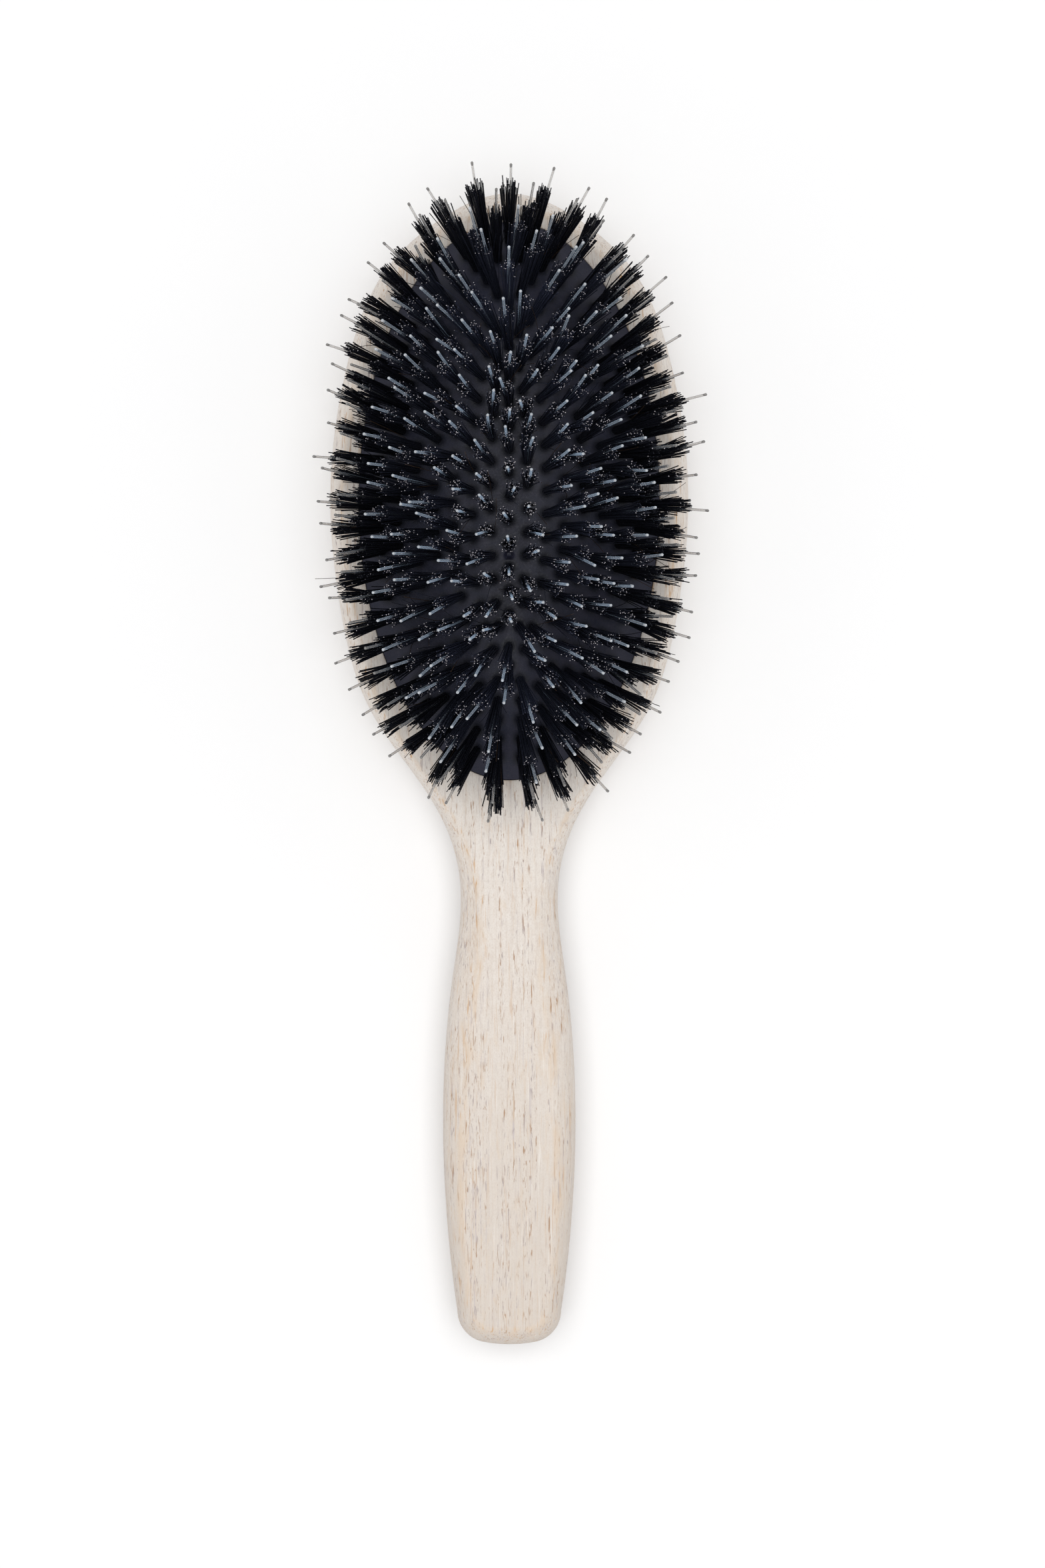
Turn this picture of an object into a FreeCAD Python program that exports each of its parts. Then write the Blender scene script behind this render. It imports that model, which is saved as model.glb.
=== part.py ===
import FreeCAD, Part
import math
import os

# Oval cushion hairbrush. Millimetres. The origin is on the flat back, under the middle of
# the rubber cushion: +Y runs along the brush to the tip of the head, +Z is the way that the
# bristles stand, and the handle runs along -Y.

V = FreeCAD.Vector
UP = V(0, 0, 1)
margin = 10.0                 # what cuts reaches this far past what it cuts
tolerance = 0.01

# Wooden body
face_height = 17.0            # flat front face above the back
side_drop = 5.5               # widest line of the sides, below the front face
head_tip_y = 63.2
handle_end_y = -171.8
spine_head_y = 40.0           # ends of the line that the back's sections run to
spine_handle_y = -163.0
ridge_inset_head = 3.4        # front edge's rounding, as wide as this on the head
ridge_inset_neck = 1.6        # and this much wider at the neck
ridge_neck_y = -95.0
ridge_neck_spread = 40.0
ridge_angle = math.radians(65)
back_power = 3.2              # back section: 2 is an ellipse, more is flatter with rounder sides
back_flat_depth = 0.4         # how much the back's crown is sanded flat
neck_rise = 3.4               # the back is hollowed this much at the neck
neck_y = -84.0
neck_spread = 22.0
end_rise = 3.0                # and this much at the end of the handle
end_spread = 20.0

# Half of the outline seen from the front: from the tip of the head to the handle's corner,
# round the corner, and across the end
side_points = [
    (0.0, head_tip_y),
    (14.3, 57.8),
    (25.7, 47.0),
    (33.3, 27.5),
    (36.6, 1.0),
    (34.6, -21.0),
    (28.4, -42.3),
    (17.3, -58.5),
    (11.7, -69.5),
    (9.9, -80.0),
    (11.5, -96.3),
    (13.5, -122.0),
    (12.4, -150.0),
    (10.6, -165.0),
]
corner_points = [(10.6, -165.0), (9.1, -169.1), (5.6, -171.25)]
end_points = [(5.6, -171.25), (2.9, -171.66), (0.0, handle_end_y)]
sections_along = 140
sections_over_edge = 7
sections_over_back = 14

# Oval recess and rubber cushion
oval_half_x = 30.5
oval_half_y = 56.6
recess_depth = 6.5
groove_depth = 0.8            # undercut round the recess wall, for the cushion's bead
groove_top = 1.9              # below the front face
groove_bottom = 3.1
dome_height = 11.5
dome_levels = (1.0, 0.86, 0.72, 0.58, 0.44, 0.3, 0.18, 0.08)   # widths, as shares of the rim
rubber_thickness = 1.4
rim_gap = 0.1                 # between the rubber and the wood
bead_depth = 0.6
vent_radius = 0.75
vent_y = -11.6                # between two tufts of the centre row

# Bristle tufts, pins and wire anchors
ring_count = 7
rim_margin = 4.3              # outer ring of tufts, inside the rim
ring_pitch = 3.75             # from one ring to the next
tuft_pitch = 4.65             # along a ring and the centre row
centre_reach = 5              # tufts of the centre row, each way from its middle one
extra_fan = 0.0055            # the tufts lean this much more per mm towards the two ends
tuft_root_radius = 0.95
tuft_top_radius = 1.6
tuft_flare_start = 1.0
tuft_height = 16.0            # above the rubber
tuft_fold_depth = 3.0         # the fold's lowest point, below the rubber's face
tuft_fold_radius = 0.7
tuft_fold_round = 0.4
hole_gap = 0.2                # between a tuft and its hole in the rubber
hole_depth = 3.2              # the holes are cut from this far below the rubber's face
hole_reach = 1.8              # to this far above it
pin_radius = 0.27
pin_height = 22.0
pin_tip_radius = 0.33
pin_tip_start = 0.8           # below the pin's end, where its tip starts to swell
pin_tip_full = 0.5            # and where it is as wide as it gets
pin_tip_round = 0.2
pin_depth = 0.9
pin_bore_radius = 0.32
pin_bore_depth = 1.0
anchor_depth = 2.2            # wire's centre below the rubber's face
anchor_radius = 0.25
anchor_hole_radius = 0.35
anchor_length = 3.4


def ellipse_wire(half_x, half_y, z):
    """Flat oval, longer along Y, that starts at its +Y end."""
    edge = Part.Ellipse(V(0, 0, z), half_y, half_x).toShape()
    edge.rotate(V(0, 0, z), UP, 90)
    return Part.Wire([edge])


def oval_plate(half_x, half_y, low, high):
    face = Part.Face(ellipse_wire(half_x, half_y, low))
    return face.extrude(V(0, 0, high - low))


# Wooden body ------------------------------------------------------------------------------

def running_lengths(points):
    lengths = [0.0]
    for before, after in zip(points, points[1:]):
        lengths.append(lengths[-1] + (after - before).Length)
    return lengths


def cubic(points, parameters, **end_directions):
    curve = Part.BSplineCurve()
    curve.interpolate(Points=points, Parameters=parameters, **end_directions)
    return curve


def side_line():
    points = [V(x, y, 0) for x, y in side_points]
    curve = cubic(points, running_lengths(points), Scale=False,
                  InitialTangent=V(1, 0, 0), FinalTangent=V(-0.15, -1, 0).normalize())
    corner = Part.Arc(*[V(x, y, 0) for x, y in corner_points])
    end = Part.Arc(*[V(x, y, 0) for x, y in end_points])
    return Part.Wire([part.toShape() for part in (curve, corner, end)])


def bump(y, centre, spread):
    return math.exp(-((y - centre) / spread) ** 2)


def back_line(y):
    """Height of the back's lowest line before it is sanded flat."""
    rise = neck_rise * bump(y, neck_y, neck_spread)
    rise += end_rise * bump(y, handle_end_y, end_spread)
    return rise - back_flat_depth


def section(outer, along):
    """One section of the right half: over the front edge, round the side, to the spine.

    outer is a point of the outline, and along runs from 0 at the head's tip to 1.
    """
    spread = (outer.y - handle_end_y) / (head_tip_y - handle_end_y)
    mix = 0.5 * (1 - spread) + 0.5 * along
    spine = V(0, spine_head_y + (spine_handle_y - spine_head_y) * mix, 0)
    reach = (spine - outer).Length
    inward = (spine - outer) / reach
    ridge_inset = ridge_inset_head + ridge_inset_neck * bump(outer.y, ridge_neck_y, ridge_neck_spread)
    edge_width = ridge_inset / (1 - math.cos(ridge_angle))
    edge_height = side_drop / math.sin(ridge_angle)
    side_z = face_height - side_drop
    points = []
    for i in range(sections_over_edge):
        angle = ridge_angle * (1 - i / sections_over_edge)
        inset = edge_width * (1 - math.cos(angle))
        points.append(outer + inward * inset + UP * (side_z + edge_height * math.sin(angle)))
    for i in range(sections_over_back + 1):
        angle = 0.5 * math.pi * i / sections_over_back
        kept = max(math.cos(angle), 0.0) ** (2 / back_power)
        drop = math.sin(angle) ** (2 / back_power)
        if i == sections_over_back:
            kept = 0.0
        point = outer + inward * (reach * (1 - kept))
        point.z = side_z - (side_z - back_line(point.y)) * drop
        points.append(point)
    return points


def smooth_surface(grid):
    """Cubic surface through a grid of points: first along every section, then across them."""
    over = running_lengths(grid[len(grid) // 2])
    across = [float(i) for i in range(len(grid))]
    sections = [cubic(points, over) for points in grid]
    columns = zip(*[curve.getPoles() for curve in sections])
    lines = [cubic(list(column), across) for column in columns]
    poles = [list(row) for row in zip(*[line.getPoles() for line in lines])]
    surface = Part.BSplineSurface()
    surface.buildFromPolesMultsKnots(
        poles, lines[0].getMultiplicities(), sections[0].getMultiplicities(),
        lines[0].getKnots(), sections[0].getKnots(), False, False, 3, 3)
    return surface


def make_body():
    outline = side_line().discretize(Number=sections_along + 1)
    grid = [section(point, i / sections_along) for i, point in enumerate(outline)]
    for row in (grid[0], grid[-1]):
        for point in row:
            point.x = 0.0
    right = smooth_surface(grid).toShape()
    left = right.mirror(V(0, 0, 0), V(1, 0, 0))
    front_edges = []
    for half in (right, left):
        front_edges += [edge for edge in half.Edges
                        if min(end.Z for end in edge.Vertexes) > face_height - tolerance]
    front = Part.Face(Part.Wire(Part.__sortEdges__(front_edges)))
    shell = Part.makeShell([right, left, front])
    shell.sewShape()
    solid = Part.Solid(shell.Shells[0])
    if solid.Volume < 0:
        solid.reverse()
    below = Part.makeBox(4 * oval_half_x, head_tip_y - handle_end_y + 2 * margin, margin,
                         V(-2 * oval_half_x, handle_end_y - margin, -margin))
    solid = solid.cut(below)
    solid = solid.cut(oval_plate(oval_half_x, oval_half_y,
                                 face_height - recess_depth, face_height + margin))
    solid = solid.cut(oval_plate(oval_half_x + groove_depth, oval_half_y + groove_depth,
                                 face_height - groove_bottom, face_height - groove_top))
    return solid


# Rubber cushion ---------------------------------------------------------------------------

def dome(half_x, height):
    """Solid dome whose level lines are ovals with one and the same straight middle stretch."""
    straight = oval_half_y - oval_half_x
    wires = []
    for t in dome_levels:
        z = face_height + height * (1 - t * t)
        wires.append(ellipse_wire(half_x * t, straight + half_x * t, z))
    return Part.makeLoft(wires, True, False)


def make_cushion(tufts):
    outer_x = oval_half_x - rim_gap
    inner_x = outer_x - rubber_thickness
    straight = oval_half_y - oval_half_x
    bead_x = oval_half_x + bead_depth
    bead_low = face_height - groove_bottom + rim_gap
    bead_high = face_height - groove_top - rim_gap
    cushion = dome(outer_x, dome_height)
    cushion = cushion.fuse(oval_plate(outer_x, straight + outer_x, bead_low, face_height))
    cushion = cushion.fuse(oval_plate(bead_x, straight + bead_x, bead_low, bead_high))
    cushion = cushion.cut(dome(inner_x, dome_height - rubber_thickness))
    cushion = cushion.cut(oval_plate(inner_x, straight + inner_x, bead_low - margin, face_height))
    radius = tuft_root_radius + hole_gap
    length = hole_depth + hole_reach
    holes = [Part.makeCylinder(radius, length, root - lean * hole_depth, lean)
             for root, lean, side in tufts]
    vent_low = V(0, vent_y, face_height + dome_height - hole_depth)
    holes.append(Part.makeCylinder(vent_radius, length, vent_low))
    return cushion.cut(holes)


# Where the tufts stand --------------------------------------------------------------------

def stand(x, y, t):
    """Root on the rubber's face, the way the tuft points, and the way its anchor lies."""
    root = V(x, y, face_height + dome_height * (1 - t * t))
    half_x = oval_half_x * t
    half_y = half_x + oval_half_y - oval_half_x
    slope = V(0, 0, 0)
    if t > 0:
        cosine = x / half_x
        sine = y / half_y
        scale = 2 * dome_height * t / oval_half_x
        scale /= half_y * cosine ** 2 + half_x * sine ** 2
        slope = V(scale * half_y * cosine, scale * half_x * sine, 0)
    slope.y += extra_fan * y * (1 - t * t)
    lean = (UP + slope).normalize()
    outward = V(slope.x, slope.y, 0)
    side = V(0, 1, 0) if t == 0 else UP.cross(outward).normalize()
    side = (side - lean * side.dot(lean)).normalize()
    return root, lean, side


def centre_row():
    return [stand(0, i * tuft_pitch, 0) for i in range(-centre_reach, centre_reach + 1)]


def ring(number):
    """Ring 1 is the outermost. Every other ring is staggered by half a step."""
    half_x = oval_half_x - rim_margin - ring_pitch * (number - 1)
    wire = ellipse_wire(half_x, half_x + oval_half_y - oval_half_x, 0)
    count = round(wire.Length / tuft_pitch)
    points = wire.discretize(Number=2 * count + 1)[(number + 1) % 2:-1:2]
    return [stand(point.x, point.y, half_x / oval_half_x) for point in points]


# One of each, standing at the origin along +Z ---------------------------------------------

def turned(points):
    """Solid turned about Z from a closed profile of (radius, height) points."""
    profile = Part.makePolygon([V(r, 0, z) for r, z in points + points[:1]])
    return Part.Face(profile).revolve(V(0, 0, 0), UP, 360)


def make_tuft():
    tuft = turned([
        (0, -tuft_fold_depth),
        (tuft_fold_radius, -tuft_fold_depth),
        (tuft_root_radius, -tuft_fold_depth + tuft_fold_round),
        (tuft_root_radius, tuft_flare_start),
        (tuft_top_radius, tuft_height),
        (pin_bore_radius, tuft_height),
        (pin_bore_radius, -pin_bore_depth),
        (0, -pin_bore_depth),
    ])
    reach = 2 * tuft_root_radius
    hole = Part.makeCylinder(anchor_hole_radius, 2 * reach, V(-reach, 0, -anchor_depth), V(1, 0, 0))
    return tuft.cut(hole)


def make_pin():
    """Straight pin with a slightly swollen tip."""
    return turned([
        (0, -pin_depth),
        (pin_radius, -pin_depth),
        (pin_radius, pin_height - pin_tip_start),
        (pin_tip_radius, pin_height - pin_tip_full),
        (pin_tip_radius, pin_height - pin_tip_round),
        (pin_tip_radius - pin_tip_round, pin_height),
        (0, pin_height),
    ])


def make_anchor():
    start = V(-anchor_length / 2, 0, -anchor_depth)
    return Part.makeCylinder(anchor_radius, anchor_length, start, V(1, 0, 0))


def placed(shape, place):
    """Copy of a shape, with its Z along the tuft and its X along the anchor."""
    root, lean, side = place
    turn = FreeCAD.Rotation(side, lean.cross(side), lean, "ZXY")
    copy = shape.copy()
    copy.Placement = FreeCAD.Placement(root, turn)
    return copy


def export(shape, name):
    shape.exportStep("parts/" + name + ".step")
    box = shape.BoundBox
    print(name, len(shape.Solids), "solids", shape.isValid(), round(shape.Volume, 1), "mm3",
          [round(v, 2) for v in (box.XMin, box.XMax, box.YMin, box.YMax, box.ZMin, box.ZMax)])


def main():
    os.makedirs("parts", exist_ok=True)
    groups = {"ring_%d" % number: ring(number) for number in range(1, ring_count + 1)}
    groups["centre_row"] = centre_row()
    tufts = [place for group in groups.values() for place in group]
    export(make_body(), "beech_body")
    export(make_cushion(tufts), "rubber_cushion")
    pieces = {"tufts": make_tuft(), "pins": make_pin(), "anchors": make_anchor()}
    for group, places in groups.items():
        for kind, piece in pieces.items():
            export(Part.makeCompound([placed(piece, place) for place in places]),
                   group + "_" + kind)


main()
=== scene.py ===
import math
import bpy
import numpy as np
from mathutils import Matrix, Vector
from mathutils.geometry import tessellate_polygon


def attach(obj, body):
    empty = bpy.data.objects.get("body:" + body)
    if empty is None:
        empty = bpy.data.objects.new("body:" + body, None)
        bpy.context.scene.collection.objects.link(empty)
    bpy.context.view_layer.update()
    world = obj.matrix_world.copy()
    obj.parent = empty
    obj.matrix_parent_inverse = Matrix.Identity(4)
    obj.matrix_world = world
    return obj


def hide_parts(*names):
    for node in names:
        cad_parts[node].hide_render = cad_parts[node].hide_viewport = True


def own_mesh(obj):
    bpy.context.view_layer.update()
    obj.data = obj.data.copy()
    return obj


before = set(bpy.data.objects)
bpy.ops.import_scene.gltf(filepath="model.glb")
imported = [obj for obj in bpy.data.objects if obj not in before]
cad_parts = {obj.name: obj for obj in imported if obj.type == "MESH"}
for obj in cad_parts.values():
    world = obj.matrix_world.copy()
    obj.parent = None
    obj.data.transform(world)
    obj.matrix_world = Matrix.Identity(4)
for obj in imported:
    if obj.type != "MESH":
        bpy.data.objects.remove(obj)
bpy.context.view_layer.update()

# Oval cushion hairbrush: whitewashed beech, a black rubber cushion, and tufts of black bristle
# with a clear nylon pin in each. Lengths are millimetres up to the meshes, as in part.py.
MM = 0.001
UP = np.array([0.0, 0.0, 1.0])
rng = np.random.default_rng(11)

# Wooden body
face_height = 17.0            # flat front face above the back
side_drop = 5.5               # widest line of the sides, below the front face
head_tip_y = 63.2
handle_end_y = -171.8
spine_head_y = 40.0           # ends of the line that the back's sections run to
spine_handle_y = -163.0
ridge_inset_head = 3.4        # front edge's rounding, as wide as this on the head
ridge_inset_neck = 1.6        # and this much wider at the neck
ridge_neck_y = -95.0
ridge_neck_spread = 40.0
ridge_angle = math.radians(65)
ridge_soft = 0.45             # the ridge is sanded over this width, each way
ridge_past = 1.6              # and this many times as far on its outer side
ridge_rows = 5                # rows of points over the ridge,
side_rows = 12                # from there to the widest line of the side,
back_rows = 26                # and on to the back's spine
outline_samples = 330
back_power = 3.2              # back section: 2 is an ellipse, more is flatter with rounder sides
back_flat_depth = 0.4         # how much the back's crown is sanded flat
back_flat_soft = 0.25         # the flat's edge is rounded by about this much
neck_rise = 3.4               # the back is hollowed this much at the neck
neck_y = -84.0
neck_spread = 22.0
end_rise = 3.0                # and this much at the end of the handle
end_spread = 20.0
side_points = [
    (0.0, head_tip_y),
    (14.3, 57.8),
    (25.7, 47.0),
    (33.3, 27.5),
    (36.6, 1.0),
    (34.6, -21.0),
    (28.4, -42.3),
    (17.3, -58.5),
    (11.7, -69.5),
    (9.9, -80.0),
    (11.5, -96.3),
    (13.5, -122.0),
    (12.4, -150.0),
    (10.6, -165.0),
]
corner_points = [(10.6, -165.0), (9.1, -169.1), (5.6, -171.25)]
end_points = [(5.6, -171.25), (2.9, -171.66), (0.0, handle_end_y)]
corner_direction = (-0.15, -1.0)      # the way that the side runs into the corner

# Oval recess and rubber cushion
oval_half_x = 30.5
oval_half_y = 56.6
oval_straight = oval_half_y - oval_half_x
recess_depth = 6.5
groove_depth = 0.8            # undercut round the recess wall, for the cushion's bead
groove_top = 1.9              # below the front face
groove_bottom = 3.1
dome_height = 11.5
rubber_thickness = 1.4
rim_gap = 0.1                 # between the rubber and the wood
bead_depth = 0.6
bead_gap = 0.1                # between the bead and the groove, above and below
vent_y = -11.6
vent_radius = 0.75
vent_lip = 0.15               # the vent's mouth is this much wider
vent_slope = 0.4              # and its wall falls over this width
vent_depth = 1.1
dimple_reach = 3.2            # a tuft pulls the rubber down this far round its root:
dimple_depth = 0.08           # a wide shallow dimple
dimple_spread = 1.7
hole_depth = 0.14             # and a steeper one at the hole
hole_radius = 1.4
hole_slope = 0.5
dimple_limit = 0.2            # the two together are no deeper than this
shade_spread = 2.0            # painted shade darkens the rubber this far round a root
ripple_height = 0.05          # the rubber's face has a slight wave across the head
ripple_across = 0.9           # radians per mm
ripple_wander = 1.3           # the wave wanders by this much, in radians,
ripple_along = 0.37           # in step with this many radians per mm along the head
outer_levels = 74             # rows of points from the rim to the middle, outside
inner_levels = 16             # and inside the membrane
dome_columns = 600
rim_columns = 300             # points round the recess and the bead

# Tufts and pins
ring_count = 7
rim_margin = 4.3              # outer ring of tufts, inside the rim
ring_pitch = 3.75             # from one ring to the next
tuft_pitch = 4.65             # along a ring and the centre row
centre_reach = 5              # tufts of the centre row, each way from its middle one
extra_fan = 0.0055            # the tufts lean this much more per mm towards the two ends
lean_jitter = 0.044           # standard deviation of the tufts' lean, as a slope
rim_groups = ("ring_1", "ring_2")
next_groups = ("ring_3", "ring_4")
golden_angle = 2.39996        # from one bristle of a tuft to the next, in radians

tuft_root_radius = 0.86
tuft_root_inset = 0.1         # the outer bristles' middles are this far inside that radius
tuft_buried = 1.5             # bristles start this far below the rubber's face
bristles_in_tuft = 50
outer_fan = (0.02, 0.06)      # how much the bristles at a tuft's edge lean out, as a slope
inner_fan = (0.015, 0.045)
bristle_length = 16.0         # above the rubber
bristle_dome = 1.1            # a tuft's outer bristles are this much shorter
# how unlike each other bristles are, as standard deviations: place in the tuft as a share of
# its radius, slope, bend, length, and the length of whole tufts
bristle_place_jitter = 0.05
bristle_tilt_jitter = 0.015
bristle_bend_jitter = 0.22
bristle_length_jitter = 0.55
tuft_length_jitter = 0.5
outward_bend = 0.2            # a tuft's outer bristles bend out by this much
bristle_heights = [0, 0.25, 0.5, 0.75, 0.93, 1.0]         # rows of points, as shares
bristle_radii = [0.1, 0.1, 0.098, 0.094, 0.09, 0.1]       # and the radius at each
bristle_sides = 5
bristle_width = (0.8, 1.15)   # from the thinnest bristle to the thickest
rim_width = 1.15              # bristles of the rim are this much thicker
glint_share = 0.5              # bristles with a pale cut end, a painted glint that is partly the cut end's own paler colour
rim_glint_share = 0.15
short_share = 0.12            # bristles that are cut or worn short, and by how much
short_by = (0.6, 3.0)
stray_share = 0.018           # bristles that stand out of their tuft
stray_tilt = 0.1
stray_bend = 2.0
stray_length = 0.85
stray_width = 0.6
stray_brown_share = 0.5

pin_height = 22.0             # above the rubber
pin_tilt_jitter = 0.026
pin_bend_jitter = 0.35
pin_length_jitter = 0.25
pin_buried = 0.36             # straight down, below the rubber's face
pin_radius = 0.25
pin_foot_radius = 0.22
pin_neck = [                  # down from the pin's end, and how far the radius differs there
    (1.1, 0.0),
    (0.85, -0.01),
    (0.6, 0.025),
]
pin_tip_radius = 0.29
pin_tip_angles = [-20, 0, 20, 40, 58, 74]
pin_tip_rows = 8              # the last rows of points, which have the tip's look: a painted highlight, and at the rim a painted shade
pin_mesh_height = 22.45       # the length that the rows near the tip are spaced for
pin_sides = 16

# Studio, in metres
floor_half = 4.0
lamp_size = 1.1
lamp_place = (0.0, -0.06, 1.4)
lamp_power = 12.5             # watts
world_strength = 0.56
camera_place = (0.0027, -0.0574, 0.737)
camera_lens = 81.5            # mm
sensor_height = 36.0          # mm


# Node materials -----------------------------------------------------------------------------

class Look:
    """A node material. node() adds one node and links or sets its inputs by name."""

    def __init__(self, name, **settings):
        self.material = bpy.data.materials.new(name)
        self.material.use_nodes = True
        self.tree = self.material.node_tree
        self.shader = self.tree.nodes["Principled BSDF"]
        for key, value in settings.items():
            self.shader.inputs[key.replace("_", " ")].default_value = value
        coordinates = self.tree.nodes.new("ShaderNodeTexCoord")
        self.place = coordinates.outputs["Object"]

    def node(self, kind, inputs=None, out=0, **attributes):
        made = self.tree.nodes.new("ShaderNode" + kind)
        for key, value in attributes.items():
            setattr(made, key, value)
        for key, value in (inputs or {}).items():
            if isinstance(value, bpy.types.NodeSocket):
                self.tree.links.new(value, made.inputs[key])
            else:
                made.inputs[key].default_value = value
        return made.outputs[out]

    def stretched(self, across, along, turn=0.0):
        """Object coordinates scaled so that one unit is across mm by along mm."""
        return self.node("Mapping", {
            "Vector": self.place,
            "Rotation": (0, 0, turn),
            "Scale": (1 / (across * MM), 1 / (along * MM), 1 / (across * MM)),
        })

    def noise(self, place, detail=2.0, roughness=0.5, distortion=0.0):
        return self.node("TexNoise", {
            "Vector": place, "Scale": 1.0, "Detail": detail,
            "Roughness": roughness, "Distortion": distortion})

    def step(self, value, low, high, start=0.0, end=1.0):
        """Smooth step from start to end, as the value goes from low to high."""
        return self.node("MapRange", {
            "Value": value, "From Min": low, "From Max": high,
            "To Min": start, "To Max": end}, interpolation_type="SMOOTHSTEP")

    def math(self, operation, first, second=0.0):
        return self.node("Math", {0: first, 1: second}, operation=operation)

    def mix(self, share, first, second):
        """Colour mix of two colours, either of which may be a socket."""
        made = self.tree.nodes.new("ShaderNodeMix")
        made.data_type = "RGBA"
        for index, value in ((0, share), (6, first), (7, second)):
            if isinstance(value, bpy.types.NodeSocket):
                self.tree.links.new(value, made.inputs[index])
            else:
                made.inputs[index].default_value = value
        return made.outputs[2]

    def connect(self, name, value):
        self.tree.links.new(value, self.shader.inputs[name])

    def bump(self, height, distance, strength):
        return self.node("Bump", {
            "Height": height, "Distance": distance * MM, "Strength": strength})


def colour(red, green, blue):
    return (red, green, blue, 1.0)


# Whitewashed beech
beech_ground = colour(0.775, 0.71, 0.65)
beech_ground_dark = colour(0.755, 0.682, 0.612)
beech_streak = colour(0.635, 0.56, 0.50)
beech_limewash = colour(0.825, 0.78, 0.73)
beech_pore = colour(0.61, 0.53, 0.465)
# painted shade for the handle's end, and painted light near the head
beech_painted_shade_end = colour(0.635, 0.562, 0.495)
beech_painted_light_head = colour(0.86, 0.815, 0.76)
beech_patch = colour(0.70, 0.55, 0.41)
beech_line_brown = colour(0.58, 0.43, 0.31)
beech_line_grey = colour(0.53, 0.47, 0.47)
beech_ray_brown = colour(0.38, 0.21, 0.11)
beech_ray_grey = colour(0.38, 0.315, 0.315)
beech_vein = colour(0.56, 0.315, 0.13)
beech_scratch = colour(0.87, 0.83, 0.78)
beech_worn = colour(0.70, 0.56, 0.43)
painted_light_from = -0.09        # painted light, metres along the brush, from the neck to the head
painted_light_to = -0.05
painted_shade_from = -0.05      # and painted shade, from the neck to the handle's end
painted_shade_to = -0.165
ray_kinds = [                 # mm across, mm along, and the noise that a ray starts at
    (0.22, 1.9, 0.58),
    (0.32, 4.6, 0.605),
]
ray_soft = 0.13
scratch_kinds = [             # turn in radians, mm across, mm along
    (0.42, 0.45, 12.0),
    (-1.1, 0.4, 9.0),
    (1.35, 0.42, 14.0),
]


def beech_look():
    look = Look("beech_whitewashed", Roughness=0.62, Specular_IOR_Level=0.3)
    broad = look.noise(look.stretched(6.0, 50.0), 2.0, 0.5)
    streak = look.noise(look.stretched(0.42, 16.0), 3.0, 0.6, 0.3)
    mottle = look.noise(look.stretched(0.8, 1.5), 3.0, 0.62)
    fine = look.noise(look.stretched(0.25, 0.45), 2.0, 0.6)
    tone = look.mix(look.step(broad, 0.34, 0.66), beech_ground, beech_ground_dark)
    tone = look.mix(look.step(streak, 0.42, 0.68, 0.0, 0.4), tone, beech_streak)
    tone = look.mix(look.step(mottle, 0.4, 0.66, 0.0, 0.5), tone, beech_limewash)
    tone = look.mix(look.step(fine, 0.45, 0.7, 0.0, 0.5), tone, beech_pore)
    # painted shade: darker and warmer towards the handle's end, where less light falls; painted
    # light: paler towards the head, where the tufts shade the neck
    along = look.node("SeparateXYZ", {"Vector": look.place}, out=1)
    dark = look.step(along, painted_shade_from, painted_shade_to, 0.0, 0.7)
    tone = look.mix(dark, tone, beech_painted_shade_end)
    painted_light = look.step(along, painted_light_from, painted_light_to, 0.0, 0.4)
    tone = look.mix(painted_light, tone, beech_painted_light_head)
    patch = look.noise(look.stretched(1.8, 9.0), 3.0, 0.6, 0.8)
    tone = look.mix(look.step(patch, 0.54, 0.76, 0.0, 0.4), tone, beech_patch)
    # grain lines, and in them the short thin rays of beech, brown or greyish purple
    lane = look.noise(look.stretched(0.8, 70.0), 1.0, 0.5, 0.1)
    lanes = look.step(lane, 0.42, 0.58)
    hue = look.step(look.noise(look.stretched(1.3, 6.0), 0.0), 0.42, 0.58)
    line = look.noise(look.stretched(0.33, 18.0), 2.0, 0.55, 0.3)
    lines = look.math("MULTIPLY", look.step(line, 0.54, 0.72), lanes)
    line_colour = look.mix(hue, beech_line_brown, beech_line_grey)
    tone = look.mix(look.math("MULTIPLY", lines, 0.8), tone, line_colour)
    ray_colour = look.mix(hue, beech_ray_brown, beech_ray_grey)
    rays = None
    for across, length, low in ray_kinds:
        ray = look.noise(look.stretched(across, length), 2.0, 0.45, 0.5)
        found = look.math("MULTIPLY", look.step(ray, low, low + ray_soft),
                          look.math("ADD", look.math("MULTIPLY", lanes, 0.85), 0.15))
        rays = found if rays is None else look.math("MAXIMUM", rays, found)
    tone = look.mix(look.math("MULTIPLY", rays, 0.85), tone, ray_colour)
    # a few long orange veins, most near the edges, and pale scratches across the grain
    edge = look.node("Attribute", out=2, attribute_name="edge")
    vein = look.step(look.noise(look.stretched(0.5, 11.0), 2.0, 0.6, 0.8), 0.58, 0.7)
    near_edge = look.math("ADD", look.math("MULTIPLY", edge, 0.75), 0.25)
    tone = look.mix(look.math("MULTIPLY", vein, near_edge), tone, beech_vein)
    for turn, across, length in scratch_kinds:
        scratch = look.noise(look.stretched(across, length, turn), 1.0, 0.5, 0.4)
        tone = look.mix(look.step(scratch, 0.66, 0.8, 0.0, 0.35), tone, beech_scratch)
    # the edges are rubbed warmer in places
    worn = look.math("MULTIPLY", edge, look.step(patch, 0.4, 0.62, 0.05, 0.5))
    tone = look.mix(worn, tone, beech_worn)
    look.connect("Base Color", tone)
    look.connect("Roughness", look.step(streak, 0.3, 0.7, 0.56, 0.7))
    height = look.math("ADD", look.math("MULTIPLY", streak, 0.6), fine)
    height = look.math("SUBTRACT", height, look.math("MULTIPLY", rays, 0.9))
    look.connect("Normal", look.bump(height, 0.06, 0.6))
    return look.material


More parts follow.
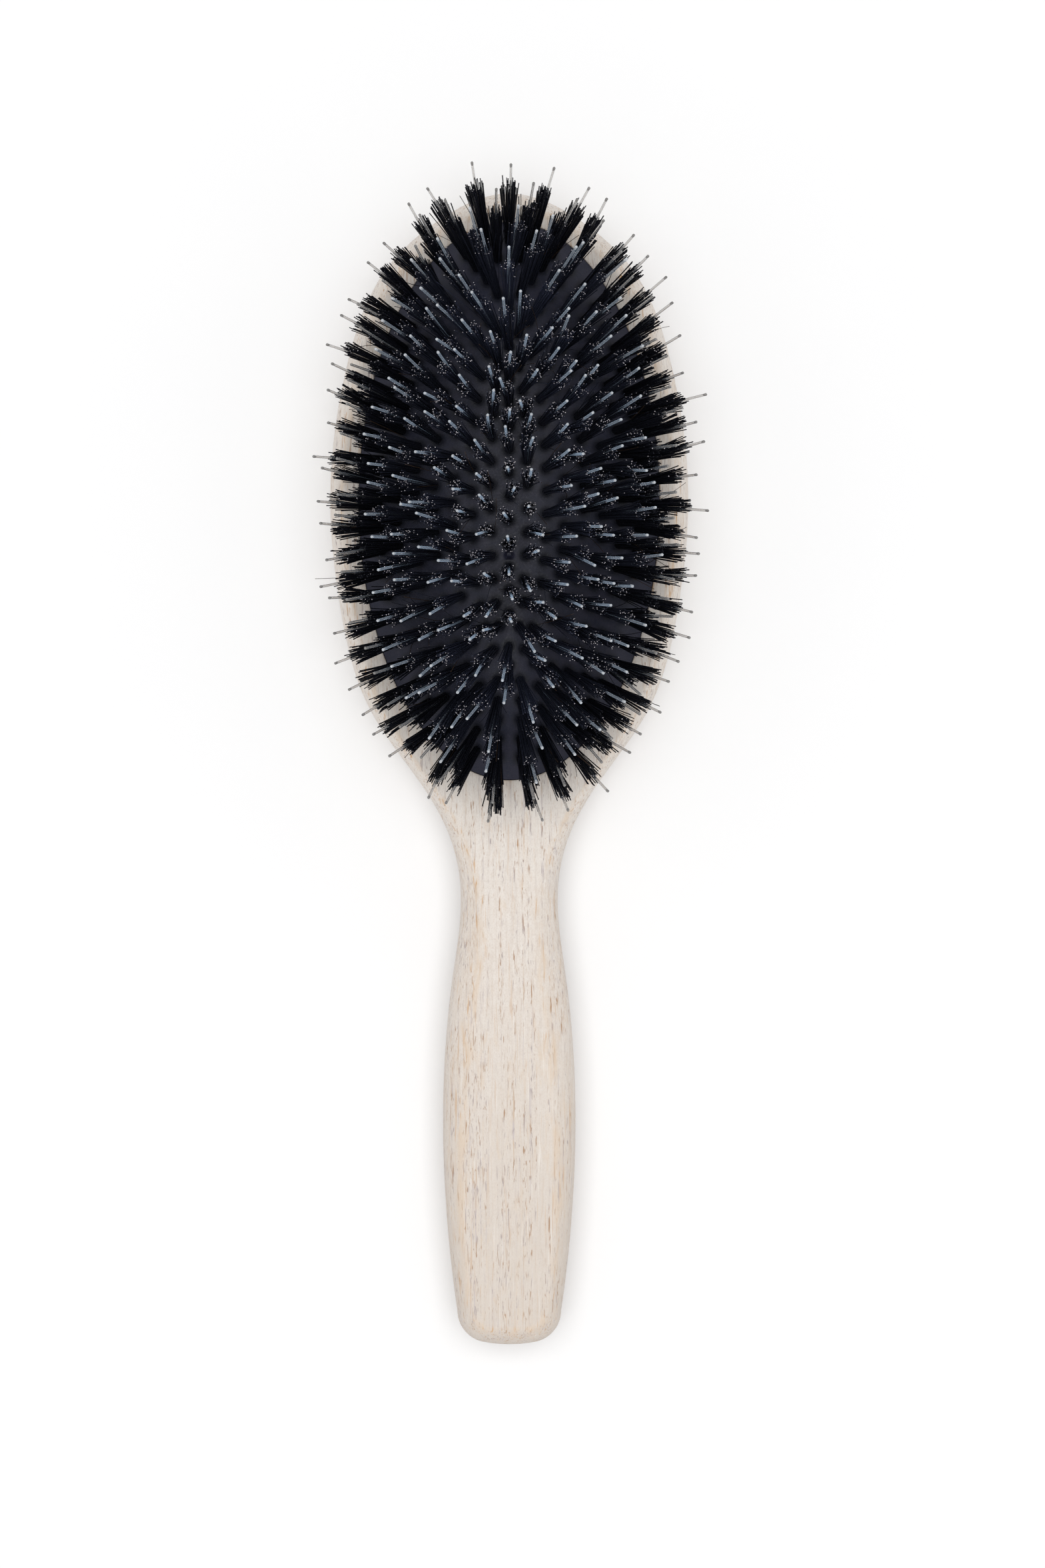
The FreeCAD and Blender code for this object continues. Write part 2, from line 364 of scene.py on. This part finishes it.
# Black rubber
rubber_ground = colour(0.0165, 0.0195, 0.039)
rubber_cloud = colour(0.0238, 0.0245, 0.0455)
rubber_dust = colour(0.038, 0.0375, 0.055)
# painted shade round the tufts' roots
rubber_painted_shade = colour(0.0055, 0.0065, 0.011)


def rubber_look():
    look = Look("rubber_black", Roughness=0.5, Specular_IOR_Level=0.3)
    cloudy = look.noise(look.stretched(2.6, 2.6), 3.0, 0.6)
    grit = look.noise(look.stretched(0.45, 0.45), 3.0, 0.65)
    tone = look.mix(look.step(cloudy, 0.35, 0.65), rubber_ground, rubber_cloud)
    tone = look.mix(look.step(grit, 0.46, 0.72, 0.0, 0.7), tone, rubber_dust)
    # painted shade: the rubber is darker round each tuft, where the bristles shade it
    painted_tuft_shade = look.node("Attribute", out=2, attribute_name="painted_tuft_shade")
    tone = look.mix(look.step(painted_tuft_shade, 0.2, 0.85, 0.0, 0.8), tone, rubber_painted_shade)
    look.connect("Base Color", tone)
    look.connect("Roughness", look.step(grit, 0.3, 0.7, 0.44, 0.6))
    look.connect("Normal", look.bump(grit, 0.05, 0.6))
    return look.material


def bristle_look(name, dark, light, roughness):
    """Bristle: the shade changes a little from bristle to bristle and along each."""
    look = Look(name, Roughness=roughness, Specular_IOR_Level=0.25)
    change = look.noise(look.stretched(0.35, 0.35), 1.0, 0.5)
    look.connect("Base Color", look.mix(look.step(change, 0.35, 0.7), dark, light))
    look.connect("Roughness", look.step(change, 0.3, 0.7, roughness - 0.06, roughness + 0.08))
    scales = look.noise(look.stretched(0.08, 0.08), 1.0, 0.5)
    look.connect("Normal", look.bump(scales, 0.01, 0.4))
    return look.material


nylon_haze_tint = colour(0.55, 0.74, 0.98)


def nylon_look(name, dark, light, roughness, clear, haze):
    """Clear nylon: light goes through it, and its skin scatters a little bluish haze."""
    look = Look(name, Roughness=roughness, IOR=1.5, Transmission_Weight=clear,
                Sheen_Weight=haze, Sheen_Roughness=0.4, Sheen_Tint=nylon_haze_tint)
    drawn = look.noise(look.stretched(0.25, 0.25), 2.0, 0.5)
    look.connect("Base Color", look.mix(look.step(drawn, 0.3, 0.7), dark, light))
    look.connect("Roughness", look.step(drawn, 0.3, 0.7, roughness - 0.02, roughness + 0.03))
    look.connect("Normal", look.bump(drawn, 0.004, 0.15))
    return look.material


steel_dark = colour(0.50, 0.51, 0.53)
steel_light = colour(0.66, 0.67, 0.68)


def steel_look():
    look = Look("steel_drawn", Metallic=1.0, Roughness=0.34)
    drawn = look.noise(look.stretched(0.12, 0.12), 2.0, 0.6)
    look.connect("Base Color", look.mix(drawn, steel_dark, steel_light))
    look.connect("Roughness", look.step(drawn, 0.3, 0.7, 0.28, 0.42))
    look.connect("Normal", look.bump(drawn, 0.01, 0.5))
    return look.material


# painted shade and light: the rim's bristles and pins get darker copies of their looks, and the
# middle's bristles a lighter one
beech = beech_look()
rubber = rubber_look()
bristle_painted_light = bristle_look("bristle_painted_light", roughness=0.4,
                              dark=colour(0.019, 0.0225, 0.040),
                              light=colour(0.034, 0.039, 0.066))
bristle = bristle_look("bristle_black", roughness=0.4,
                       dark=colour(0.011, 0.013, 0.0215),
                       light=colour(0.022, 0.0245, 0.040))
bristle_painted_shade = bristle_look("bristle_painted_shade", roughness=0.4,
                           dark=colour(0.0045, 0.005, 0.008),
                           light=colour(0.012, 0.013, 0.020))
# painted glint on the cut ends, partly their own paler colour
bristle_painted_glint = bristle_look("bristle_cut_end_glint", roughness=0.5,
                           dark=colour(0.20, 0.185, 0.20),
                           light=colour(0.58, 0.55, 0.58))
bristle_stray = bristle_look("bristle_brown", roughness=0.4,
                             dark=colour(0.03, 0.018, 0.012),
                             light=colour(0.06, 0.036, 0.022))
nylon = nylon_look("nylon_clear", roughness=0.08, clear=0.88, haze=0.85,
                   dark=colour(0.80, 0.85, 0.91),
                   light=colour(0.90, 0.93, 0.97))
# painted highlight: the tips are whiter and less clear than the shafts
nylon_tip_painted_highlight = nylon_look("nylon_tip_painted_highlight", roughness=0.08, clear=0.6, haze=0.85,
                       dark=colour(0.88, 0.90, 0.92),
                       light=colour(0.95, 0.96, 0.97))
# painted shade: the rim's pins are greyer, and their tips dark
nylon_rim_painted_shade = nylon_look("nylon_rim_painted_shade", roughness=0.08, clear=0.9, haze=0.35,
                       dark=colour(0.69, 0.67, 0.65),
                       light=colour(0.80, 0.78, 0.76))
nylon_rim_tip_painted_shade = nylon_look("nylon_rim_tip_painted_shade", roughness=0.2, clear=0.5, haze=0.15,
                           dark=colour(0.29, 0.28, 0.27),
                           light=colour(0.43, 0.415, 0.40))
steel = steel_look()


# Meshes ---------------------------------------------------------------------------------------

def add_piece(name, body, points, faces, materials, sharp, kinds=None):
    """New object that rides on a body.

    faces is a list of arrays of corners, one array for each number of corners, and kinds gives
    the material of each face, in the same order. sharp is the angle in degrees from which an
    edge isn't smoothed.
    """
    mesh = bpy.data.meshes.new(name)
    mesh.vertices.add(len(points))
    mesh.vertices.foreach_set("co", (np.asarray(points) * MM).ravel())
    corners = np.concatenate([part.ravel() for part in faces])
    sizes = np.concatenate([np.full(len(part), part.shape[1]) for part in faces])
    mesh.loops.add(len(corners))
    mesh.loops.foreach_set("vertex_index", corners)
    mesh.polygons.add(len(sizes))
    mesh.polygons.foreach_set("loop_start", np.cumsum(sizes) - sizes)
    mesh.update(calc_edges=True)
    for material in materials:
        mesh.materials.append(material)
    if kinds is not None:
        mesh.polygons.foreach_set("material_index", np.concatenate(kinds).astype(np.int32))
    mesh.shade_smooth()
    mesh.set_sharp_from_angle(angle=math.radians(sharp))
    piece = bpy.data.objects.new(name, mesh)
    bpy.context.scene.collection.objects.link(piece)
    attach(piece, body)
    return piece


def grid_faces(rows, columns, flip=False):
    """Quads between rows of points, where each row is a closed loop."""
    row, column = np.meshgrid(np.arange(rows - 1), np.arange(columns), indexing="ij")
    after = (column + 1) % columns
    quads = np.stack([row * columns + column, row * columns + after,
                      (row + 1) * columns + after, (row + 1) * columns + column], axis=-1)
    quads = quads.reshape(-1, 4)
    return quads[:, ::-1] if flip else quads


def weld(points, faces):
    """Joins points that round to the same 0.0001 mm, and mends or drops the faces that close up.

    Returns the points, the faces, and the number that each point left had before.
    """
    keys = np.round(points * 10000).astype(np.int64)
    kept, inverse = np.unique(keys, axis=0, return_index=True, return_inverse=True)[1:]
    inverse = inverse.ravel()
    out = []
    for part in faces:
        part = inverse[part]
        whole = part[np.array([len(set(face)) == len(face) for face in part.tolist()])]
        broken = [list(dict.fromkeys(face)) for face in part.tolist()
                  if len(set(face)) == len(face) - 1 and len(face) == 4]
        out.append(whole)
        if broken:
            out.append(np.array(broken))
    return points[kept], out, kept


# Wooden body ----------------------------------------------------------------------------------

def clamped_cubic(points, start, end, samples):
    """Cubic spline through points with given end directions, by chord length."""
    points = np.array(points, float)
    steps = np.linalg.norm(np.diff(points, axis=0), axis=1)
    knots = np.concatenate([[0], np.cumsum(steps)])
    count = len(points)
    matrix = np.eye(count)
    right = np.zeros((count, 2))
    right[0] = start
    right[-1] = end
    for i in range(1, count - 1):
        before, after = steps[i - 1], steps[i]
        matrix[i, i - 1] = after
        matrix[i, i] = 2 * (before + after)
        matrix[i, i + 1] = before
        right[i] = 3 * (after * (points[i] - points[i - 1]) / before
                        + before * (points[i + 1] - points[i]) / after)
    slopes = np.linalg.solve(matrix, right)
    at = np.linspace(0, knots[-1], samples)
    i = np.clip(np.searchsorted(knots, at, side="right") - 1, 0, count - 2)
    width = steps[i][:, None]
    u = ((at - knots[i]) / steps[i])[:, None]
    return ((2 * u ** 3 - 3 * u ** 2 + 1) * points[i]
            + (u ** 3 - 2 * u ** 2 + u) * width * slopes[i]
            + (3 * u ** 2 - 2 * u ** 3) * points[i + 1]
            + (u ** 3 - u ** 2) * width * slopes[i + 1])


def arc_through(first, middle, last, samples):
    """Points of the circle's arc from first, through middle, to last."""
    (ax, ay), (bx, by), (cx, cy) = first, middle, last
    scale = 2 * (ax * (by - cy) + bx * (cy - ay) + cx * (ay - by))
    a, b, c = ax * ax + ay * ay, bx * bx + by * by, cx * cx + cy * cy
    x = (a * (by - cy) + b * (cy - ay) + c * (ay - by)) / scale
    y = (a * (cx - bx) + b * (ax - cx) + c * (bx - ax)) / scale
    radius = math.hypot(ax - x, ay - y)
    start = math.atan2(ay - y, ax - x)
    turn = math.atan2(cy - y, cx - x) - start
    turn = (turn + math.pi) % (2 * math.pi) - math.pi
    angle = start + turn * np.linspace(0, 1, samples)
    return np.stack([x + radius * np.cos(angle), y + radius * np.sin(angle)], axis=1)


def evenly(line, samples):
    """Points at equal steps along a line of close points."""
    run = np.concatenate([[0], np.cumsum(np.linalg.norm(np.diff(line, axis=0), axis=1))])
    at = np.linspace(0, run[-1], samples)
    return np.stack([np.interp(at, run, line[:, k]) for k in range(line.shape[1])], axis=1)


def half_outline(samples):
    """Right half of the outline, from the tip of the head to the middle of the handle's end."""
    tangent = np.array(corner_direction)
    side = clamped_cubic(side_points, (1, 0), tangent / np.linalg.norm(tangent), 4000)
    corner = arc_through(*corner_points, 200)
    end = arc_through(*end_points, 200)
    line = evenly(np.concatenate([side, corner[1:], end[1:]]), samples)
    line[0, 0] = line[-1, 0] = 0.0
    return line


def bump_at(y, centre, spread):
    """Bell curve along the brush, 1 at its centre."""
    return np.exp(-((y - centre) / spread) ** 2)


def soft_floor(z):
    """Height kept above the flat back, with a soft edge where the flat starts."""
    soft = 0.5 * (z + np.sqrt(z * z + back_flat_soft ** 2))
    return np.maximum(soft - 0.5 * back_flat_soft * np.exp(-z * z), 0)


def body_section(outer, along):
    """Rows over the front's edge, round the side and to the back's spine, with edge wear."""
    spread = (outer[1] - handle_end_y) / (head_tip_y - handle_end_y)
    share = 0.5 * (1 - spread) + 0.5 * along
    spine = np.array([0, spine_head_y + (spine_handle_y - spine_head_y) * share])
    reach = np.linalg.norm(spine - outer)
    inward = (spine - outer) / reach
    inset = ridge_inset_head + ridge_inset_neck * bump_at(outer[1], ridge_neck_y, ridge_neck_spread)
    edge_width = inset / (1 - math.cos(ridge_angle))
    edge_height = side_drop / math.sin(ridge_angle)
    side_z = face_height - side_drop

    def over_edge(angle):
        return edge_width * (1 - math.cos(angle)), side_z + edge_height * math.sin(angle)

    # each row: how far in from the outline, height, wear
    past_angle = ridge_angle - ridge_soft / edge_height * ridge_past
    ridge = np.array([inset, face_height])
    past = np.array(over_edge(past_angle))
    flat = np.array([inset + ridge_soft, face_height])
    rows = [(inset + 1.1, face_height, 0.0), (flat[0] + 0.15, face_height, 0.55)]
    for u in np.linspace(0, 1, ridge_rows):
        x, z = flat * (1 - u) ** 2 + ridge * 2 * u * (1 - u) + past * u * u
        rows.append((x, z, 1.0))
    for i in range(1, side_rows + 1):
        angle = past_angle * (1 - i / (side_rows + 1))
        rows.append((*over_edge(angle), 0.8 * math.exp(-i / 2.0)))
    points = [(*(outer + inward * x), z) for x, z, wear in rows]
    wear = [row[2] for row in rows]
    for i in range(back_rows + 1):
        angle = 0.5 * math.pi * i / back_rows
        kept = max(math.cos(angle), 0.0) ** (2 / back_power)
        drop = math.sin(angle) ** (2 / back_power)
        if i == back_rows:
            kept = 0.0
        x, y = outer + inward * (reach * (1 - kept))
        back = neck_rise * bump_at(y, neck_y, neck_spread)
        back += end_rise * bump_at(y, handle_end_y, end_spread) - back_flat_depth
        points.append((x, y, soft_floor(side_z - (side_z - back) * drop)))
        wear.append(0.0)
    return points, wear


def oval(half_x, z, columns):
    """Oval of the cushion's family, from its +Y end, the same way round as the outline."""
    angle = np.linspace(0, 2 * math.pi, columns, endpoint=False)
    return np.stack([half_x * np.sin(angle), (oval_straight + half_x) * np.cos(angle),
                     np.full(columns, float(z))], axis=1)


def make_beech_body():
    outline = half_outline(outline_samples)
    grid, wear = [], []
    for i, outer in enumerate(outline):
        points, values = body_section(outer, i / (outline_samples - 1))
        grid.append(points)
        wear.append(values)
    right = np.array(grid)
    right[[0, -1], :, 0] = 0.0
    right[:, -1, 0] = 0.0
    rows = right.shape[1]
    left = right * np.array([-1.0, 1.0, 1.0])
    # once round the outline: down the right side and back up the left
    loop = np.concatenate([right, left[-2:0:-1]]).transpose(1, 0, 2)
    wear = np.array(wear)
    wear = np.concatenate([wear, wear[-2:0:-1]]).T
    around = loop.shape[1]
    points = [loop.reshape(-1, 3)]
    values = [wear.ravel()]
    faces = [grid_faces(rows, around)]

    # the recess: how far outside its wall, height, wear
    columns = rim_columns
    low = face_height - recess_depth
    wall = [
        (0.9, face_height, 0.0),
        (0.3, face_height, 0.45),
        (0.12, face_height - 0.03, 0.8),
        (0.03, face_height - 0.12, 0.8),
        (0.0, face_height - 0.3, 0.5),
        (0.0, face_height - groove_top, 0.0),
        (groove_depth, face_height - groove_top, 0.0),
        (groove_depth, face_height - groove_bottom, 0.0),
        (0.0, face_height - groove_bottom, 0.0),
        (0.0, low + 0.4, 0.0),
        (-0.4, low, 0.0),
        (-8.0, low, 0.0),
        (-18.0, low, 0.0),
    ]
    base = around * rows
    rings = np.array([oval(oval_half_x + out, z, columns) for out, z, value in wall])
    points.append(rings.reshape(-1, 3))
    values.append(np.repeat([value for out, z, value in wall], columns))
    faces.append(grid_faces(len(wall), columns, flip=True) + base)
    middle = base + len(wall) * columns
    points.append(np.array([[0.0, 0.0, low]]))
    values.append(np.zeros(1))
    last = base + (len(wall) - 1) * columns + np.arange(columns)
    fan = np.stack([last, np.full(columns, middle), np.roll(last, -1)], axis=1)

    # the flat front face, between the outline's first row and the recess
    outer_loop = [Vector(p) for p in loop[0]]
    inner_loop = [Vector(p) for p in rings[0]]
    found = tessellate_polygon([outer_loop, inner_loop])
    number = np.concatenate([np.arange(around), base + np.arange(columns)])
    front = number[np.array(found)]
    everything = np.concatenate(points)
    across = everything[front[:, 1]] - everything[front[:, 0]]
    along = everything[front[:, 2]] - everything[front[:, 0]]
    down = np.cross(across, along)[:, 2] < 0
    front[down] = front[down][:, ::-1]
    faces.append(np.concatenate([fan, front]))
    everything, faces, kept = weld(everything, faces)
    piece = add_piece("beech_skin", "body", everything, faces, [beech], sharp=50)
    attribute = piece.data.attributes.new("edge", "FLOAT", "POINT")
    attribute.data.foreach_set("value", np.concatenate(values)[kept])
    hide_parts("beech_body")


# Where the tufts stand ------------------------------------------------------------------------

def stand(x, y, t):
    """Root on the rubber's face, and the way that the tuft points.

    t is the oval's width there, as a share of the rim's. A tuft stands square to the rubber,
    and leans a little more towards the two ends of the head.
    """
    root = np.array([x, y, face_height + dome_height * (1 - t * t)])
    half_x = oval_half_x * t
    half_y = half_x + oval_straight
    slope = np.zeros(3)
    if t > 0:
        cosine, sine = x / half_x, y / half_y
        scale = 2 * dome_height * t / oval_half_x
        scale /= half_y * cosine ** 2 + half_x * sine ** 2
        slope = np.array([scale * half_y * cosine, scale * half_x * sine, 0.0])
    slope[1] += extra_fan * y * (1 - t * t)
    lean = UP + slope
    return root, lean / np.linalg.norm(lean)


def ring_places(number):
    """Tufts of a ring at equal steps, with every second ring half a step on."""
    half_x = oval_half_x - rim_margin - ring_pitch * (number - 1)
    line = oval(half_x, 0.0, 6000)
    line = np.concatenate([line, line[:1]])
    run = np.linalg.norm(np.diff(line, axis=0), axis=1).sum()
    count = round(run / tuft_pitch)
    points = evenly(line, 2 * count + 1)[(number + 1) % 2:-1:2]
    return [stand(x, y, half_x / oval_half_x) for x, y, z in points]


def centre_places():
    return [stand(0.0, i * tuft_pitch, 0.0) for i in range(-centre_reach, centre_reach + 1)]


groups = {"ring_%d" % number: ring_places(number) for number in range(1, ring_count + 1)}
groups["centre_row"] = centre_places()
for group, places in groups.items():
    root, lean = (np.array(part) for part in zip(*places))
    lean = lean + rng.normal(0, lean_jitter, lean.shape)
    groups[group] = root, lean / np.linalg.norm(lean, axis=1, keepdims=True)
roots = np.concatenate([root for root, lean in groups.values()])


# Rubber cushion -------------------------------------------------------------------------------

def away_from(points, x, y):
    return np.hypot(points[:, 0] - x, points[:, 1] - y)


def dome_points(half_x, height, levels):
    """Rows of ovals from the rim to the middle of a dome."""
    shares = np.linspace(1, 0, levels)
    rows = [oval(half_x * t, face_height + height * (1 - t * t), dome_columns) for t in shares]
    return np.array(rows).reshape(-1, 3)


def make_dome():
    outer_x = oval_half_x - rim_gap
    points = dome_points(outer_x, dome_height, outer_levels)
    for x, y, z in roots:
        away = away_from(points, x, y)
        near = away < dimple_reach
        pull = dimple_depth * np.exp(-(away[near] / dimple_spread) ** 2)
        pull += hole_depth * np.clip((hole_radius - away[near]) / hole_slope, 0, 1) ** 2
        points[near, 2] -= np.minimum(pull, dimple_limit)
    away = away_from(points, 0.0, vent_y)
    points[:, 2] -= vent_depth * np.clip((vent_radius + vent_lip - away) / vent_slope, 0, 1)
    wander = ripple_wander * np.sin(points[:, 1] * ripple_along)
    points[:, 2] += ripple_height * np.sin(points[:, 0] * ripple_across + wander)
    points[:, 2] = np.maximum(points[:, 2], face_height)
    inner = dome_points(outer_x - rubber_thickness, dome_height - rubber_thickness, inner_levels)
    base = len(points)
    column = np.arange(dome_columns)
    after = np.roll(column, -1)
    faces = [
        grid_faces(outer_levels, dome_columns),
        grid_faces(inner_levels, dome_columns, flip=True) + base,
        np.stack([column, column + base, after + base, after], axis=1),
    ]
    points, faces = weld(np.concatenate([points, inner]), faces)[:2]
    dome = add_piece("cushion_dome", "body", points, faces, [rubber], sharp=60)
    # painted shade: how near each point is to a tuft's root, which darkens the rubber's colour
    painted_tuft_shade = np.zeros(len(points))
    for x, y, z in roots:
        painted_tuft_shade = np.maximum(painted_tuft_shade, np.exp(-(away_from(points, x, y) / shade_spread) ** 2))
    dome.data.attributes.new("painted_tuft_shade", "FLOAT", "POINT").data.foreach_set("value", painted_tuft_shade)
    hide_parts("rubber_cushion")
    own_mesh(dome)


def make_bead():
    """The cushion's rim, with the bead that sits in the groove of the recess."""
    outer_x = oval_half_x - rim_gap
    inner_x = outer_x - rubber_thickness
    bead_x = oval_half_x + bead_depth
    low = face_height - groove_bottom + bead_gap
    high = face_height - groove_top - bead_gap
    profile = [
        (outer_x - 0.12, face_height - 0.02),
        (outer_x - 0.02, face_height - 0.12),
        (outer_x, face_height - 0.3),
        (outer_x, high + 0.05),
        (bead_x - 0.15, high),
        (bead_x, high - 0.2),
        (bead_x, low + 0.2),
        (bead_x - 0.15, low),
        (inner_x, low),
        (inner_x, face_height - 0.02),
    ]
    rings = np.array([oval(half_x, z, rim_columns) for half_x, z in profile + profile[:1]])
    faces = [grid_faces(len(rings), rim_columns, flip=True)]
    points, faces = weld(rings.reshape(-1, 3), faces)[:2]
    collar = add_piece("cushion_bead", "body", points, faces, [rubber], sharp=50)
    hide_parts("rubber_cushion")


# Bristles and pins ----------------------------------------------------------------------------

def frames_of(directions):
    """Two unit vectors square to each direction."""
    helper = np.where(np.abs(directions[:, 1:2]) > 0.8, [[1.0, 0.0, 0.0]], [[0.0, 1.0, 0.0]])
    first = np.cross(helper, directions)
    first /= np.linalg.norm(first, axis=1, keepdims=True)
    return first, np.cross(directions, first)


def rods(starts, directions, bends, lengths, heights, radii, sides):
    """Bent rods of one kind. heights gives each row's place as a share of the rod's length.

    radii gives each row's radius in mm, for all the rods or for each.
    """
    first, second = frames_of(directions)
    count, rows = len(starts), len(heights)
    turn = rng.uniform(0, 2 * math.pi, count)
    angle = 2 * math.pi * np.arange(sides) / sides + turn[:, None]
    circle = (np.cos(angle)[..., None] * first[:, None]
              + np.sin(angle)[..., None] * second[:, None])
    radii = np.broadcast_to(radii, (count, rows))
    heights = np.broadcast_to(heights, (count, rows))
    along = heights * lengths[:, None]
    axis = starts[:, None] + directions[:, None] * along[..., None]
    axis = axis + bends[:, None] * (heights ** 2)[..., None]
    points = axis[:, :, None] + circle[:, None] * radii[:, :, None, None]
    return points.reshape(-1, 3)


def rod_faces(count, rows, sides):
    """Quads round the rods, and the polygons that close their far ends and their starts."""
    one = grid_faces(rows, sides)
    step = (np.arange(count) * rows * sides)[:, None, None]
    tubes = (one[None] + step).reshape(-1, 4)
    ends = (np.arange(sides) + (rows - 1) * sides)[None] + step[:, 0]
    starts = np.arange(sides)[::-1][None] + step[:, 0]
    return tubes, ends, starts


def make_tufts(name, places):
    """A tuft's bristles start close together on a spiral, and open like a fan."""
    root, lean = places
    at_rim = name in rim_groups
    count = len(root)
    n = bristles_in_tuft
    which = np.repeat(np.arange(count), n)
    total = count * n
    first, second = frames_of(lean)
    order = np.tile(np.arange(n), count)
    radius = np.sqrt((order + 0.5) / n)
    angle = order * golden_angle + np.repeat(rng.uniform(0, 2 * math.pi, count), n)
    radius = radius + rng.normal(0, bristle_place_jitter, total)
    offset = radius[:, None] * (np.cos(angle)[:, None] * first[which]
                                + np.sin(angle)[:, None] * second[which])
    fan = outer_fan if at_rim else inner_fan
    spread = rng.uniform(*fan, count)[which]
    directions = lean[which] + offset * spread[:, None]
    directions += rng.normal(0, bristle_tilt_jitter, (total, 3))
    stray = rng.random(total) < stray_share
    directions[stray] += rng.normal(0, stray_tilt, (stray.sum(), 3))
    directions /= np.linalg.norm(directions, axis=1, keepdims=True)
    starts = root[which] + offset * (tuft_root_radius - tuft_root_inset)
    starts -= lean[which] * tuft_buried
    bends = rng.normal(0, bristle_bend_jitter, (total, 3)) + offset * outward_bend
    bends[stray] += rng.normal(0, stray_bend, (stray.sum(), 3))
    lengths = tuft_buried + bristle_length + rng.normal(0, bristle_length_jitter, total)
    lengths += rng.normal(0, tuft_length_jitter, count)[which]
    lengths -= bristle_dome * np.clip(radius, 0, 1) ** 3
    short = rng.random(total) < short_share
    lengths[short] -= rng.uniform(*short_by, short.sum())
    lengths[stray] *= stray_length
    width = rng.uniform(*bristle_width, total) * (rim_width if at_rim else 1.0)
    width[stray] *= stray_width
    points = rods(starts, directions, bends, lengths, bristle_heights,
                  width[:, None] * np.array(bristle_radii), bristle_sides)
    tubes, ends, bases = rod_faces(total, len(bristle_heights), bristle_sides)
    # the looks: 0 the shaft, 1 a pale cut end (a painted glint, partly its own paler colour), 2
    # brown
    painted_light = (rng.random(total) < (rim_glint_share if at_rim else glint_share)).astype(int)
    brown = stray & (rng.random(total) < stray_brown_share)
    shaft_kind = np.where(brown, 2, 0)
    kinds = [np.repeat(shaft_kind, len(tubes) // total), np.where(brown, 2, painted_light), shaft_kind]
    # painted light and shade: lighter bristles in the middle, darker ones at the rim
    shaft = bristle_painted_light
    if at_rim:
        shaft = bristle_painted_shade
    elif name in next_groups:
        shaft = bristle
    piece = add_piece(name + "_bristles", name, points, [tubes, ends, bases],
                      [shaft, bristle_painted_glint, bristle_stray], sharp=70, kinds=kinds)
    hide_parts(name + "_tufts")


def make_pins(name, places):
    root, lean = places
    count = len(root)
    directions = lean + rng.normal(0, pin_tilt_jitter, (count, 3))
    directions /= np.linalg.norm(directions, axis=1, keepdims=True)
    bends = rng.normal(0, pin_bend_jitter, (count, 3))
    buried = pin_buried / lean[:, 2]
    lengths = pin_height + buried + rng.normal(0, pin_length_jitter, count)
    starts = root - lean * buried[:, None]
    tip = pin_tip_radius
    profile = [(0.0, pin_foot_radius), (0.02, pin_radius)]
    profile += [(share, pin_radius) for share in (0.2, 0.4, 0.6, 0.8)]
    profile += [(1 - down / pin_mesh_height, pin_radius + more) for down, more in pin_neck]
    for angle in np.radians(pin_tip_angles):
        down = tip * (1 - math.sin(angle))
        profile.append((1 - down / pin_mesh_height, tip * math.cos(angle)))
    heights, radii = zip(*profile)
    points = rods(starts, directions, bends, lengths, heights, radii, pin_sides)
    tubes, ends, bases = rod_faces(count, len(heights), pin_sides)
    # the looks: 0 the shaft, 1 the tip, painted white as a highlight, and dark as shade at the rim
    row = np.tile(np.repeat(np.arange(len(heights) - 1), pin_sides), count)
    in_tip = row >= len(heights) - pin_tip_rows
    kinds = [in_tip.astype(int), np.ones(count), np.zeros(count)]
    looks = [nylon_rim_painted_shade, nylon_rim_tip_painted_shade] if name in rim_groups else [nylon, nylon_tip_painted_highlight]
    piece = add_piece(name + "_nylon", name, points, [tubes, ends, bases],
                      looks, sharp=60, kinds=kinds)
    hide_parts(name + "_pins")


make_beech_body()
make_dome()
make_bead()
for group, places in groups.items():
    make_tufts(group, places)
    make_pins(group, places)
    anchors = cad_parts[group + "_anchors"]
    anchors.data.materials.clear()
    anchors.data.materials.append(steel)


# Floor, light and camera ----------------------------------------------------------------------

floor_dark = colour(0.93, 0.93, 0.935)
floor_light = colour(0.94, 0.94, 0.94)


def make_floor():
    half = floor_half
    mesh = bpy.data.meshes.new("floor")
    corners = [(-half, -half, 0), (half, -half, 0), (half, half, 0), (-half, half, 0)]
    mesh.from_pydata(corners, [], [(0, 1, 2, 3)])
    floor = bpy.data.objects.new("floor", mesh)
    bpy.context.scene.collection.objects.link(floor)
    look = Look("floor_white", Roughness=0.9, Specular_IOR_Level=0.0)
    grain = look.noise(look.stretched(30.0, 30.0), 2.0, 0.5)
    look.connect("Base Color", look.mix(grain, floor_dark, floor_light))
    mesh.materials.append(look.material)


def make_lights():
    world = bpy.data.worlds.new("studio")
    bpy.context.scene.world = world
    world.use_nodes = True
    background = world.node_tree.nodes["Background"]
    background.inputs["Color"].default_value = colour(1.0, 1.0, 1.0)
    background.inputs["Strength"].default_value = world_strength
    data = bpy.data.lights.new("softbox", "AREA")
    data.shape = "SQUARE"
    data.size = lamp_size
    data.energy = lamp_power
    lamp = bpy.data.objects.new("softbox", data)
    lamp.location = lamp_place
    bpy.context.scene.collection.objects.link(lamp)


def make_camera():
    data = bpy.data.cameras.new("camera")
    data.sensor_fit = "VERTICAL"
    data.sensor_height = sensor_height
    data.lens = camera_lens
    data.clip_start = 0.01
    camera = bpy.data.objects.new("camera", data)
    camera.location = camera_place
    bpy.context.scene.collection.objects.link(camera)
    bpy.context.scene.camera = camera


make_floor()
make_lights()
make_camera()
bpy.context.scene.view_settings.view_transform = "Standard"
